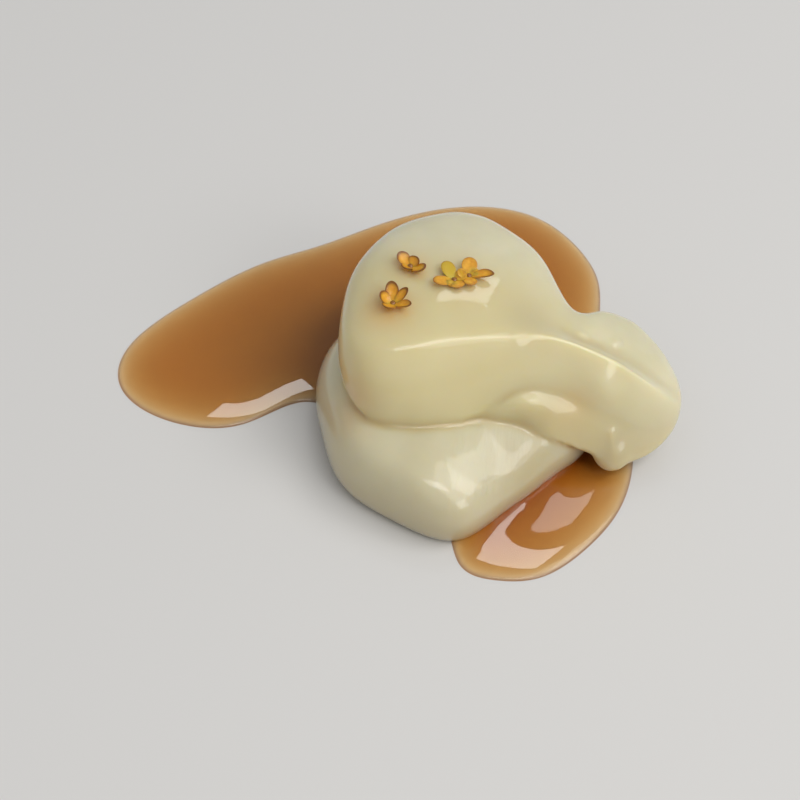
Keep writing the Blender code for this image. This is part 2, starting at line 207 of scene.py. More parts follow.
# Bend at the back, which carries the lower fold up into the upper one.
BEND_CENTRE = (-6.0, 10.5)
BEND_REACH = (14.8, 13.6)
BEND_SQUARENESS = 2.2
BEND_RINGS = (
    (0.4, -1.0),
    (0.82, -0.8),
    (0.99, 4.0),
    (1.0, 10.0),
    (0.93, 17.0),
    (0.72, 21.6),
    (0.4, 22.6),
)

# The joints between the folds are smoothed away behind, and stay crisp in front. Each range
# goes from where the smoothing starts to where it is full.
BLEND_BEHIND = (6, 14)
BLEND_BESIDE = (16, 12)
BLEND_BELOW = (21, 15)
BLEND_LEAST = 0.1  # what stays of the smoothing on the top

DRIP = (20.1, -5.1, 4.9)  # middle of the drop that hangs from the tongue
DRIP_RADIUS = (3.0, 1.5, 3.3)
DRIP_TILT = -39  # about the x axis, so that it follows the lip
DRIP_BLEND = (5.0, 3.0)  # distance from its middle where the smoothing of its joint starts and is full

VOXEL = 0.32  # grain of the mesh
SMOOTHING = 0.5  # how far a pass moves a point towards the middle of its neighbours
EDGE_PASSES = 7  # passes over the whole dough
BLEND_PASSES = 280
DRIP_PASSES = 40

# The ridge of the tongue is crisper than the rest of the mesh can show.
CRISP_ALONG = (1.0, 7.0, 24.5, 27.5)  # where it starts, is full, is full for the last time and ends
CRISP_REACH = (1.5, 0.8)  # distance from the ridge where it starts and where it is full
CRISP_STEP = 0.25  # between the points of the ridge that distances are taken to
CRISP_ROUNDS = 2  # each makes the mesh finer, and reaches less far from the ridge
CRISP_NARROWING = 0.3
CRISP_SEARCH = 1.0  # how far out and how far in the fold's own surface is looked for
CRISP_PASSES = 3

# Unevenness of hand-worked dough: (wavelength, height).
WAVES = ((9.0, 0.05), (3.4, 0.015))
# Small wrinkles of the tongue: (one end, other end, reach, height).
WRINKLES = (
    ((17.7, -1.6, 15.1), (18.0, -1.8, 14.3), 2.4, 0.58),
    ((18.5, 5.3, 16.3), (18.9, 5.6, 16.2), 0.7, 0.2),
    ((14.0, 4.2, 18.1), (13.2, 4.3, 18.4), 0.6, 0.15),
    ((11.0, 3.6, 19.6), (16.5, 3.6, 17.5), 0.8, -0.09),
    ((19.5, -4.5, 8.0), (20.35, -6.1, 5.6), 0.7, 0.15),
)
RIPPLE_WIDTH = 0.8
RIPPLE_STRETCH = (1.0, 0.2, 0.2)  # the ripples run away from the viewer
RIPPLE_HEIGHT = 0.11
RIPPLED = (3.5, -15.5, 9.0, 8.0)  # middle and reach of the rippled skin on the lower shoulder
HOLLOW_PASSES = 140  # smoothing that finds how hollow each place is
HOLLOW_FULL_SHADE = 0.4  # depth of a hollow that has its full painted shade

# ---- blossoms ----
# Each has its middle (x, y) and its petals: (direction, length, width, lean upward, cup, curl of
# the tip, strength of the dark rim, share of green). Angles are in degrees.
BLOSSOMS = {
    "blossom_wide": (
        (-5.67, 5.68),
        (
            (126, 3.1, 2.4, 8, 0.25, 15, 0.5, 0.9),
            (208, 3.3, 2.1, 4, 0.25, 20, 0.9, 0.0),
            (300, 1.9, 2.4, 6, 0.2, 20, 0.6, 0.0),
            (40, 1.9, 2.2, 14, 0.25, 15, 0.5, 0.2),
            (250, 1.6, 2.0, 4, 0.2, 15, 0.5, 0.0),
        ),
    ),
    "blossom_long": (
        (-3.72, 6.87),
        (
            (96, 2.8, 2.6, 12, 0.25, 20, 0.6, 0.0),
            (4, 3.6, 1.7, 6, 0.8, 25, 1.6, 0.0),
            (282, 2.2, 2.3, 6, 0.25, 20, 0.7, 0.0),
            (188, 1.8, 2.1, 14, 0.25, 10, 0.4, 0.0),
            (50, 1.6, 1.8, 8, 0.25, 15, 0.4, 0.0),
        ),
    ),
    "blossom_closed": (
        (-12.1, 7.3),
        (
            (140, 2.7, 2.3, 0, 0.5, 58, 2.2, 0.0),
            (50, 1.7, 2.3, 8, 0.5, 60, 1.8, 0.0),
            (328, 2.9, 2.5, 0, 0.5, 52, 2.2, 0.0),
            (238, 1.7, 2.3, 8, 0.5, 56, 1.8, 0.0),
        ),
    ),
    "blossom_curled": (
        (-13.6, 0.1),
        (
            (100, 3.3, 2.2, 2, 0.5, 63, 2.2, 0.0),
            (40, 3.1, 1.7, 3, 0.6, 60, 2.2, 0.0),
            (340, 3.2, 1.7, 4, 0.6, 40, 1.6, 0.0),
            (165, 2.6, 2.2, 9, 0.5, 72, 2.0, 0.0),
            (245, 2.1, 2.4, 8, 0.4, 50, 1.2, 0.0),
        ),
    ),
}
PETAL_THICKNESS = 0.42
PETAL_START = (0.12, 0.0, 0.13)  # root of a petal that points along +X, from the blossom's middle
PETAL_ROOT = 0.72  # how wide it is near its root, as a share of its width near the tip
PETAL_ROUNDS = 10
PETAL_SPOKES = 28
WELD = 0.0005  # points of a petal that lie nearer than this become one
EYE_RADII = (0.42, 0.42, 0.26)
EYE_RISE = 0.25
ABOVE = 40.0  # the blossoms come down on the dough from here

# ---- where the dough changes its colour ----
# Where a blossom or the syrup has stained the dough: (x, y, z, reach, strength).
STAINS = (
    (-14.2, -0.6, 23.0, 3.4, 0.75),
    (-4.8, 5.6, 23.5, 3.8, 0.35),
    (-12.2, 7.2, 23.5, 2.8, 0.4),
    (-19.0, -10.5, 14.0, 4.5, 0.6),
    (13.7, -3.5, 12.3, 3.0, 0.25),
)
# Painted shade: where shade falls on the dough, behind the ridge, under the tongue and low on the front,
# it is painted a little darker, in the same form.
PAINTED_SHADES = (
    (5.8, 2.7, 21.5, 4.5, 0.45),
    (8.8, -11.6, 6.8, 5.5, 0.75),
    (-8.5, -13.0, 10.3, 5.0, 0.35),
    (-15.8, -10.8, 15.9, 4.0, 0.45),
    (20.5, -5.8, 6.0, 3.0, 0.35),
)
# The syrup that ran over the upper fold has warmed it. Each range goes from none to full.
GLAZE_BEHIND = (16.0, 8.0)  # distance behind the ridge
GLAZE_SLANT = 0.45  # how much nearer to the ridge it ends for each millimetre to the right
GLAZE_GAP = (1.4, 0.2)  # distance from the upper fold's own surface
GLAZE_ALONG = ((-22, 0.95), (0, 1.0), (9, 0.75), (18, 0.6), (27, 0.3))  # share of it at each x
FOOT_SHADE_HEIGHT = (12.0, 1.5)  # painted shade: the dough is darker towards its foot, from none to full
LIP_BELOW = (-1.0, 2.0)  # depth below the groove, where the dough thins to a lip that is painted darker, partly as shade from the wall above
LIP_FROM = (4.0, 10.0)  # x where the lip starts and where it is full
CURVE_STEPS = 120  # places at which a curve is read for all the points of the dough

# ---- syrup ----
POOL = (  # points (x, y) that its outline passes through
    (-25.4, 0.2),
    (-33.0, -5.4),
    (-41.0, -7.6),
    (-48.6, -5.7),
    (-53.4, -0.5),
    (-52.6, 8.0),
    (-45.6, 18.2),
    (-37.0, 27.3),
    (-28.0, 33.6),
    (-18.0, 41.3),
    (-7.0, 46.8),
    (3.0, 47.4),
    (10.5, 43.2),
    (15.8, 35.5),
    (17.0, 27.0),
    (18.4, 17.0),
    (22.2, 7.0),
    (23.8, -2.0),
    (22.6, -11.0),
    (18.6, -19.0),
    (12.6, -25.6),
    (6.0, -27.5),
    (0.6, -25.6),
    (-2.6, -17.0),
    (-9.0, -8.0),
    (-17.0, -2.5),
)
POOL_STEPS = 12  # from one of them to the next
POOL_OVERLAP = 3  # how many are passed again, so that the outline closes smoothly
POOL_HEIGHT = 1.2
POOL_EDGE = 9.0  # width of the round edge of the syrup
# Lines of points that follow the outline, at these distances inside it.
POOL_INSETS = (0.04, 0.1, 0.18, 0.3, 0.45, 0.65, 0.9, 1.2, 1.6, 2.1, 2.7, 3.4, 4.2, 5.1)
INSET_LEAST = 0.9  # a point that lies nearer to it than this share of its distance is left out
POOL_GRID = 1.0  # between the points of a row in the middle
POOL_ROWS = 0.87  # from row to row, as a share of that
JOIN_BELOW = 0.00001  # points nearer than this are taken for one
EDGE_LEAST = 0.001  # points nearer to the outline than this lie on it
POOL_PAINTED_RIM = 0.55  # width of the painted dark line round it, painted shade at its rim
POOL_SINK = 0.1  # the floor's surface lies inside the syrup, as it does in real syrup
CLIMB_HEIGHT = 0.6  # how far the syrup climbs the dough
CLIMB_REACH = 2.0
WETTED = 0.12  # how far the syrup reaches into the dough
ROOM_HEIGHT = 4.0  # the foot of the dough up to here is cut out of the syrup
ROOM_FLOOR = 0.5  # its underside is what lies below this
ROOM_DEPTH = 1.0  # and is moved down by this for the cut

# ---- colours, as red, green and blue in linear light ----
DOUGH_COLORS = ((0.66, 0.615, 0.41), (0.71, 0.67, 0.475))
# What tints it, one over the other: (attribute, value where it starts, strength at 1, colour).
DOUGH_TINTS = (
    ("glaze", 0.0, 0.9, (0.69, 0.605, 0.325)),
    # thin lip below the wall: warmer thin dough, and painted shade from the wall above it
    ("lip", 0.0, 1.0, (0.58, 0.47, 0.23)),
    # painted shade, darker towards the foot
    ("foot", 0.0, 1.0, (0.475, 0.405, 0.25)),
    # painted shade where shade falls on the dough
    ("shade", 0.0, 1.0, (0.49, 0.42, 0.24)),
    # painted shade in hollows and creases, in a warm syrup colour
    ("hollow", 0.05, 0.7, (0.58, 0.43, 0.17)),
    ("stain", 0.0, 1.0, (0.70, 0.42, 0.13)),
)
PETAL_COLORS = ((0.68, 0.31, 0.018), (0.86, 0.47, 0.04))
PETAL_GREEN = (0.58, 0.42, 0.025)
PETAL_RIM = (0.22, 0.085, 0.012)
EYE_COLORS = ((0.16, 0.055, 0.006), (0.38, 0.16, 0.02))
SYRUP_COLOR = (0.82, 0.55, 0.0)
SYRUP_DENSITY = 1250.0
# painted shade: colour of the dark line round the syrup's rim
SYRUP_PAINTED_RIM = (0.30, 0.13, 0.04)
FLOOR_COLOR = (0.70, 0.69, 0.67)

# ---- light ----
SURROUNDINGS = ((0.96, 0.97, 1.0), 0.42)  # colour and strength
# Panels: (name, azimuth, elevation, distance, width, height, radiance, colour).
SOFTBOXES = (
    ("key", 74, 56, 1100, 900, 700, 1.9, (1.0, 0.97, 0.92)),
    ("fill", 12, 36, 1100, 900, 500, 0.35, (1.0, 1.0, 1.0)),
    ("window_right", 103, 50, 900, 430, 340, 2.5, (1.0, 1.0, 1.0)),
    ("window_front", 56, 34, 900, 360, 240, 3.3, (1.0, 1.0, 1.0)),
    ("window_behind", 171, 54, 900, 210, 80, 4.0, (0.94, 0.98, 1.0)),
    ("window_above", 30, 66, 800, 420, 130, 3.8, (1.0, 1.0, 1.0)),
)
GLINT = ("glint", 170, 67, 900, 360, 200, 7.5, (0.92, 0.98, 1.0))  # shows on the syrup alone


def share_of(value, span, least=0.0):
    """How far a value, or each of an array, has come along a range, from least to 1."""
    return np.clip((value - span[0]) / (span[1] - span[0]), least, 1)


def line_at(points, x):
    """Reads the straight lines between points, given as (x, value), at x."""
    return np.interp(x, *zip(*points))


def curve_at(points, x, column=1):
    """Reads a smooth curve through points, given as (x, ...) rows, at x."""
    places = np.array([point[0] for point in points], float)
    values = np.array([point[column] for point in points], float)
    step = np.diff(places)
    slope = np.diff(values) / step
    system = np.eye(len(places))
    right = np.zeros(len(places))
    for i in range(1, len(places) - 1):
        system[i, i - 1 : i + 2] = step[i - 1], 2 * (step[i - 1] + step[i]), step[i]
        right[i] = 6 * (slope[i] - slope[i - 1])
    bend = np.linalg.solve(system, right)
    i = int(np.clip(np.searchsorted(places, x, side="right") - 1, 0, len(step) - 1))
    a = (places[i + 1] - x) / step[i]
    b = 1 - a
    curved = ((a**3 - a) * bend[i] + (b**3 - b) * bend[i + 1]) * step[i] ** 2 / 6
    return a * values[i] + b * values[i + 1] + curved


def curve_over(points, places, column=1):
    """Reads a smooth curve at many places, between CURVE_STEPS values of it."""
    steps = np.linspace(points[0][0], points[-1][0], CURVE_STEPS)
    return np.interp(places, steps, [curve_at(points, step, column) for step in steps])


# ---- mesh helpers ----
def mesh_object(name, points, faces):
    """A new object in the scene, from points in millimetres."""
    mesh = bpy.data.meshes.new(name)
    mesh.from_pydata([Vector(point) * MM for point in points], [], faces)
    obj = bpy.data.objects.new(name, mesh)
    bpy.context.scene.collection.objects.link(obj)
    return obj


def copy_of(obj, name):
    """A copy of the object, with a mesh of its own."""
    copy = bpy.data.objects.new(name, obj.data.copy())
    bpy.context.scene.collection.objects.link(copy)
    return copy


def positions(obj):
    """The object's points as an array, in metres."""
    flat = np.empty(len(obj.data.vertices) * 3)
    obj.data.vertices.foreach_get("co", flat)
    return flat.reshape(-1, 3)


def normals(obj):
    """The outward direction at each of the object's points, as an array."""
    flat = np.empty(len(obj.data.vertices) * 3)
    obj.data.vertex_normals.foreach_get("vector", flat)
    return flat.reshape(-1, 3)


def move_points(obj, points):
    """Gives the object new positions, in metres."""
    obj.data.vertices.foreach_set("co", points.ravel())
    obj.data.update()


def set_attribute(obj, name, values):
    """Stores a number for each point, which a material can read."""
    made = obj.data.attributes.new(name, "FLOAT", "POINT")
    made.data.foreach_set("value", np.asarray(values, np.float32))


def settled(obj):
    """The object with its modifiers worked into its mesh."""
    bpy.context.view_layer.update()
    graph = bpy.context.evaluated_depsgraph_get()
    mesh = bpy.data.meshes.new_from_object(obj.evaluated_get(graph))
    obj.modifiers.clear()
    obj.data = mesh
    return obj


def surface_of(obj):
    """The object's surface, for finding the nearest place on it or where a ray meets it."""
    return BVHTree.FromObject(obj, bpy.context.evaluated_depsgraph_get())


@contextmanager
def editing(obj):
    """The object's mesh as a bmesh, which is written back at the end."""
    work = bmesh.new()
    work.from_mesh(obj.data)
    yield work
    work.to_mesh(obj.data)
    work.free()


def facing_out(obj):
    """The closed object with all its faces turned outward."""
    with editing(obj) as work:
        bmesh.ops.recalc_face_normals(work, faces=work.faces)
        if work.calc_volume(signed=True) < 0:
            bmesh.ops.reverse_faces(work, faces=work.faces)
    return obj


def smooth_by(obj, weight, repeats):
    """Smooths the object as much as weight says at each point."""
    group = obj.vertex_groups.new(name="soft")
    for vertex in obj.data.vertices:
        group.add([vertex.index], weight(vertex.co), "REPLACE")
    smooth = obj.modifiers.new("smooth", "SMOOTH")
    smooth.vertex_group = group.name
    smooth.factor = SMOOTHING
    smooth.iterations = repeats
    settled(obj)
    obj.vertex_groups.clear()


def fuse(obj, others):
    """One body of an object and all the others, which are used up."""
    group = bpy.data.collections.new("others")
    for other in others:
        group.objects.link(other)
    join = obj.modifiers.new("join", "BOOLEAN")
    join.operation = "UNION"
    join.operand_type = "COLLECTION"
    join.collection = group
    settled(obj)
    for other in others:
        bpy.data.objects.remove(other, do_unlink=True)
    bpy.data.collections.remove(group)


def ellipsoid(name, centre, radii, tilt=0.0, subdivisions=4):
    """An ellipsoid, tilted by some degrees about the X axis through its centre."""
    obj = mesh_object(name, [], [])
    place = Matrix.Translation(Vector(centre) * MM) @ Matrix.Rotation(math.radians(tilt), 4, "X")
    with editing(obj) as work:
        bmesh.ops.create_icosphere(work, subdivisions=subdivisions, radius=MM)
        bmesh.ops.transform(work, matrix=place @ Matrix.Diagonal((*radii, 1)), verts=work.verts)
    return obj


def cut_level(obj, height, keep_above=True):
    """Cuts the object off at a height and closes the cut."""
    up = 1 if keep_above else -1
    with editing(obj) as work:
        everything = work.verts[:] + work.edges[:] + work.faces[:]
        cut = bmesh.ops.bisect_plane(
            work, geom=everything, plane_co=(0, 0, height * MM), plane_no=(0, 0, up), clear_inner=True
        )
        rim = [item for item in cut["geom_cut"] if isinstance(item, bmesh.types.BMEdge)]
        filled = bmesh.ops.contextual_create(work, geom=rim)
        bmesh.ops.triangulate(work, faces=filled["faces"])
        bmesh.ops.recalc_face_normals(work, faces=work.faces)


# ---- dough ----
def passing_through(rings, sharp):
    """Cage points whose smooth surface goes through the given rings of points."""
    grid = np.array(rings, float)
    rows, count = grid.shape[:2]
    around = np.eye(count) * 4 + np.eye(count, k=1) + np.eye(count, k=-1)
    around[0, -1] = around[-1, 0] = 1
    along = np.eye(rows) * 4 + np.eye(rows, k=1) + np.eye(rows, k=-1)
    along[0, :2] = along[-1, -2:] = 0
    along[0, 0] = along[-1, -1] = 6
    soft = np.linalg.solve(along / 6, grid.reshape(rows, -1)).reshape(grid.shape)
    soft = np.array([np.linalg.solve(around / 6, ring) for ring in soft])
    for place in sharp:
        soft[:, place] = grid[:, place]
    return soft


def cage(name, rings, first, last, sharp, levels=3):
    """A soft closed body: rings of points joined by quads and closed by a point at each end.

    The edges that run from ring to ring at a place in sharp stay as crisp as its curve over x says.
    """
    rings = passing_through(rings, sharp)
    count = len(rings[0])
    points = [first] + [point for ring in rings for point in ring] + [last]
    end = len(points) - 1
    faces = []
    for start in range(1, end - count, count):
        for i in range(count):
            j = (i + 1) % count
            faces.append((start + i, start + j, start + count + j, start + count + i))
    for i in range(count):
        j = (i + 1) % count
        faces.append((0, 1 + j, 1 + i))
        faces.append((end - count + i, end - count + j, end))
    obj = mesh_object(name, points, faces)
    creases = obj.data.attributes.new("crease_edge", "FLOAT", "EDGE")
    for edge in obj.data.edges:
        for place, crease in sharp.items():
            if all(0 < vertex < end and (vertex - 1) % count == place for vertex in edge.vertices):
                along = sum(points[vertex][0] for vertex in edge.vertices) / 2
                creases.data[edge.index].value = line_at(crease, along)
    soft = obj.modifiers.new("soft", "SUBSURF")
    soft.levels = soft.render_levels = levels
    return facing_out(settled(obj))


def pebble(name, centre, reach_of, rings, slump_of=None, count=36):
    """A flat round body, with its reach in each direction and its rings from foot to top.

    If it slumps, slump_of tells how far in a direction, and each ring ends with its share of that.
    """
    directions = [2 * math.pi * i / count for i in range(count)]
    loops = []
    for share, z, *low in rings:
        loop = []
        for angle in directions:
            turn = math.degrees(angle)
            reach = share * reach_of(turn)
            x = centre[0] + reach * math.cos(angle)
            y = centre[1] + reach * math.sin(angle)
            loop.append((x, y, z - low[0] * slump_of(turn) if slump_of else z))
        loops.append(loop)
    foot = (centre[0], centre[1], rings[0][1])
    crown = (centre[0], centre[1], rings[-1][1])
    return cage(name, loops, foot, crown, {})


def lower_reach(angle):
    """Reach of the lower fold in a direction, smooth all the way round."""
    round_again = [(a + turn, r) for turn in (-360, 0, 360) for a, r in LOWER_REACH]
    return curve_at(round_again, angle)


def lower_slump(angle):
    """How much lower the shoulder of the lower fold lies in a direction."""
    return line_at(LOWER_SLUMP, angle if angle > 180 else angle + 360)


def bend_reach(angle):
    """Reach of the bend: a full oval."""
    c, s = abs(math.cos(math.radians(angle))), abs(math.sin(math.radians(angle)))
    across, along = c / BEND_REACH[0], s / BEND_REACH[1]
    return (across**BEND_SQUARENESS + along**BEND_SQUARENESS) ** (-1 / BEND_SQUARENESS)


def upper_section(x):
    """Named points (y, z) round the upper fold at x, from the ridge over the top and back under."""

    def at(curve):
        return Vector((curve_at(curve, x, 1), curve_at(curve, x, 2)))

    ridge, groove, skirt, back = at(RIDGE), at(GROOVE), at(SKIRT), at(BACK)
    top, under = curve_at(TOP, x), curve_at(UNDERSIDE, x)
    bulge = curve_at(WALL_BULGE, x)
    depth = back.x - ridge.x

    def across(share, height):
        return Vector((ridge.x + share * depth, height))

    return {
        "ridge": ridge,
        "hollow": across(0.22, 0.7 * ridge.y + 0.3 * top - curve_at(HOLLOW, x)),
        "top": across(0.48, top),
        "top back": across(0.76, top - CROWN),
        "shoulder": across(0.95, back.y + 0.66 * (top - back.y)),
        "back": back,
        "back foot": across(0.92, under + 0.35 * (back.y - under)),
        "underside": across(0.68, under),
        "under front": across(0.33, 0.7 * under + 0.3 * skirt.y),
        "under skirt": skirt + Vector((SKIRT_THICKNESS, -0.5 * SKIRT_THICKNESS)),
        "skirt": skirt,
        "lip": at(LIP),
        "groove": groove,
        "wall": groove.lerp(ridge, 0.28) + Vector((-0.65 * bulge, 0)),
        "wall top": groove.lerp(ridge, 0.62) + Vector((-bulge, 0)),
    }


def end_share(x, squareness):
    """How much of its section the upper fold keeps near its two round ends."""
    left = (LEFT_END + LEFT_LENGTH - x) / LEFT_LENGTH
    right = (x - RIGHT_END + RIGHT_LENGTH) / RIGHT_LENGTH
    along = min(max(left, right, 0.0), 1.0)
    return (1 - along**squareness) ** (1 / squareness)


def rounded_section(x):
    """Named points (x, y, z) round the upper fold at x, drawn in near its two round ends."""
    middle = Vector((curve_at(MIDDLE, x, 1), curve_at(MIDDLE, x, 2)))
    places = {}
    for name, point in upper_section(x).items():
        off = point - middle
        left_squareness = SQUARE_FRONT if off.x < 0 else SQUARE_BACK
        wide = end_share(x, left_squareness if x < 0 else SQUARE_TIP)
        high = end_share(x, SQUARE_LEFT_HEIGHT if x < 0 else SQUARE_TIP_HEIGHT)
        places[name] = (x, middle.x + off.x * wide, middle.y + off.y * high)
    return places


def upper_fold(levels=3):
    """The upper fold with its tongue, round at both ends."""
    rounding = [1 - math.sin(math.radians(turn)) for turn in END_TURNS]
    left_steps = [LEFT_END + LEFT_LENGTH * share for share in rounding]
    right_steps = [RIGHT_END - RIGHT_LENGTH * share for share in reversed(rounding)]
    middle_steps = np.linspace(left_steps[-1], right_steps[0], MIDDLE_RINGS + 2)[1:-1]
    loops = [list(rounded_section(x).values()) for x in (*left_steps, *middle_steps, *right_steps)]
    first = (LEFT_END, curve_at(MIDDLE, LEFT_END, 1), curve_at(MIDDLE, LEFT_END, 2))
    last = (RIGHT_END, curve_at(MIDDLE, RIGHT_END, 1), curve_at(MIDDLE, RIGHT_END, 2))
    names = list(upper_section(0))
    sharp = {names.index(edge): crease for edge, crease in CRISP_EDGES.items()}
    return cage("upper_fold", loops, first, last, sharp, levels)


def blend_weight(point):
    """How far the joint between two folds is smoothed away at a point."""
    x, y, z = point / MM
    behind = share_of(y, BLEND_BEHIND) * share_of(x, BLEND_BESIDE)
    return behind * share_of(z, BLEND_BELOW, BLEND_LEAST)


def drip_weight(point):
    """How far the joint of the drop is smoothed away at a point."""
    return share_of((point - Vector(DRIP) * MM).length / MM, DRIP_BLEND)


def ridge_points():
    """The crisp part of the ridge, for finding its nearest point."""
    steps = np.arange(CRISP_ALONG[0], CRISP_ALONG[-1], CRISP_STEP)
    ridge = KDTree(len(steps))
    for i, x in enumerate(steps):
        ridge.insert(Vector(rounded_section(x)["ridge"]) * MM, i)
    ridge.balance()
    return ridge


def crisped(body):
    """Refines the mesh along the ridge and brings it back out to the fold's crisp edge."""
    fold = upper_fold(levels=4)
    surface = surface_of(fold)
    bpy.data.objects.remove(fold, do_unlink=True)
    ridge = ridge_points()
    with editing(body) as work:
        for step in range(CRISP_ROUNDS):
            reach = CRISP_REACH[0] - CRISP_NARROWING * step
            near = {vert for vert in work.verts if ridge.find(vert.co)[2] < reach * MM}
            edges = [edge for edge in work.edges if near.issuperset(edge.verts)]
            bmesh.ops.subdivide_edges(work, edges=edges, cuts=1, use_grid_fill=True)
            bmesh.ops.triangulate(work, faces=[face for face in work.faces if len(face.verts) > 4])
        work.normal_update()
        shift = {}
        for vert in work.verts:
            gap = ridge.find(vert.co)[2] / MM
            if gap < CRISP_REACH[0]:
                start = vert.co + vert.normal * CRISP_SEARCH * MM
                spot, _, _, _ = surface.ray_cast(start, -vert.normal, 2 * CRISP_SEARCH * MM)
                if spot is not None:
                    along = np.interp(vert.co.x / MM, CRISP_ALONG, (0, 1, 1, 0))
                    shift[vert] = (spot - vert.co) * share_of(gap, CRISP_REACH) * along
        for vert, move in shift.items():
            vert.co += move
        axes = dict(use_axis_x=True, use_axis_y=True, use_axis_z=True)
        for _ in range(CRISP_PASSES):
            bmesh.ops.smooth_vert(work, verts=list(shift), factor=SMOOTHING, **axes)


def uneven(points):
    """Height of the gentle unevenness at each point."""
    heights = np.zeros(len(points))
    for i, point in enumerate(points):
        for wavelength, height in WAVES:
            heights[i] += height * noise.noise(Vector(point) / (wavelength * MM))
    return heights


def wrinkled(points):
    """Height of the small wrinkles at each point."""
    heights = np.zeros(len(points))
    for start, end, reach, most in WRINKLES:
        line = np.subtract(end, start)
        off = points / MM - start
        along = np.clip(off @ line / (line @ line), 0, 1)
        gap = np.linalg.norm(off - along[:, None] * line, axis=1)
        heights += most * np.exp(-((gap / reach) ** 2))
    return heights


def hollow_shade_share(obj):
    """How hollow the surface is at each point, from 0 to 1, found by smoothing a copy."""
    # The share sets the painted shade in hollows and creases.
    copy = copy_of(obj, "smooth_copy")
    smooth = copy.modifiers.new("smooth", "SMOOTH")
    smooth.factor = SMOOTHING
    smooth.iterations = HOLLOW_PASSES
    settled(copy)
    rise = ((positions(copy) - positions(obj)) * normals(obj)).sum(1) / MM
    bpy.data.objects.remove(copy, do_unlink=True)
    return np.clip(rise / HOLLOW_FULL_SHADE, 0, 1)


def spotted(points, spots):
    """Strength of the spots of another colour at each point."""
    strength = np.zeros(len(points))
    for *place, reach, most in spots:
        far = np.linalg.norm(points / MM - place, axis=1) / reach
        strength = np.maximum(strength, most * np.exp(-(far**2)))
    return strength


def glazed(points, fold):
    """How warm the syrup has made the upper fold at each point, from 0 to 1."""
    x, y, _ = points.T / MM
    behind = y - curve_over(RIDGE, x) + GLAZE_SLANT * x
    gap = np.array([fold.find_nearest(Vector(point))[3] for point in points]) / MM
    return share_of(behind, GLAZE_BEHIND) * share_of(gap, GLAZE_GAP) * line_at(GLAZE_ALONG, x)


def thin_lip_shade(points):
    """How near each point is to the thin lip below the wall, from 0 to 1."""
    # Its darker tint is partly painted shade from the overhanging wall.
    x, _, z = points.T / MM
    return share_of(curve_over(GROOVE, x, 2) - z, LIP_BELOW) * share_of(x, LIP_FROM)


def rippled(points):
    """How strong the fine ripples are at each point, from 0 to 1."""
    *middle, reach = RIPPLED
    far = np.linalg.norm(points / MM - middle, axis=1) / reach
    return np.exp(-(far**4))


def dough():
    """The whole piece of dough, with the shares that its colours follow at each point."""
    body = pebble("dough", LOWER_CENTRE, lower_reach, LOWER_RINGS, lower_slump)
    bend = pebble("bend", BEND_CENTRE, bend_reach, BEND_RINGS)
    upper = upper_fold()
    fold = surface_of(upper)
    fuse(body, [bend, upper, ellipsoid("drip", DRIP, DRIP_RADIUS, DRIP_TILT)])
    even = body.modifiers.new("even", "REMESH")
    even.mode = "VOXEL"
    even.voxel_size = VOXEL * MM
    settled(body)
    smooth_by(body, lambda point: 1.0, EDGE_PASSES)
    smooth_by(body, blend_weight, BLEND_PASSES)
    smooth_by(body, drip_weight, DRIP_PASSES)
    crisped(body)
    points = positions(body)
    relief = uneven(points) + wrinkled(points)
    move_points(body, points + normals(body) * relief[:, None] * MM)
    cut_level(body, 0)
    points = positions(body)
    glaze = glazed(points, fold)
    shares = {
        "glaze": glaze,
        # thin lip: warmer thin dough, and painted shade from the wall above
        "lip": glaze * thin_lip_shade(points),
        # painted shade: darker towards the foot, less under the glaze
        "foot": share_of(points[:, 2] / MM, FOOT_SHADE_HEIGHT) * (1 - glaze),
        # painted shade where shade falls on the dough
        "shade": spotted(points, PAINTED_SHADES),
        # painted shade in hollows and creases
        "hollow": hollow_shade_share(body),
        "stain": spotted(points, STAINS),
        "ripple": rippled(points),
    }
    for name, share in shares.items():
        set_attribute(body, name, share)
    body.data.shade_smooth()
    return body


# ---- blossoms ----
def petal(length, width, cup, curl):
    """Points of a closed, thin, spoon-shaped petal along +X from its root, and how much rim each is."""
    points, rims = [], []
    for side in (1, -1):
        for ring in range(PETAL_ROUNDS + (side > 0)):
            r = math.sin(math.pi / 2 * ring / PETAL_ROUNDS)
            for spoke in range(PETAL_SPOKES):
                angle = 2 * math.pi * spoke / PETAL_SPOKES
                along = 0.5 + 0.5 * r * math.cos(angle)
                across = r * math.sin(angle) * (PETAL_ROOT + (1 - PETAL_ROOT) * along)
                thick = PETAL_THICKNESS / 2 * math.sqrt(max(1 - r**2, 0))
                height = cup * across**2 + side * thick
                turn = curl * along
                far = (length / curl - height) * math.sin(turn)
                rise = length / curl * (1 - math.cos(turn)) + height * math.cos(turn)
                points.append((far, across * width / 2, rise))
                rims.append(r**4 * along)
    return points, rims


def petal_faces(first):
    """Faces between the rings of a petal whose points start at first."""
    count = PETAL_SPOKES
    top = [[first + ring * count + i for i in range(count)] for ring in range(PETAL_ROUNDS + 1)]
    start = first + (PETAL_ROUNDS + 1) * count
    under = [[start + ring * count + i for i in range(count)] for ring in range(PETAL_ROUNDS)]
    rings = top + under[::-1]
    faces = []
    for ring, following in zip(rings, rings[1:]):
        for i in range(count):
            j = (i + 1) % count
            faces.append((ring[i], ring[j], following[j], following[i]))
    return faces


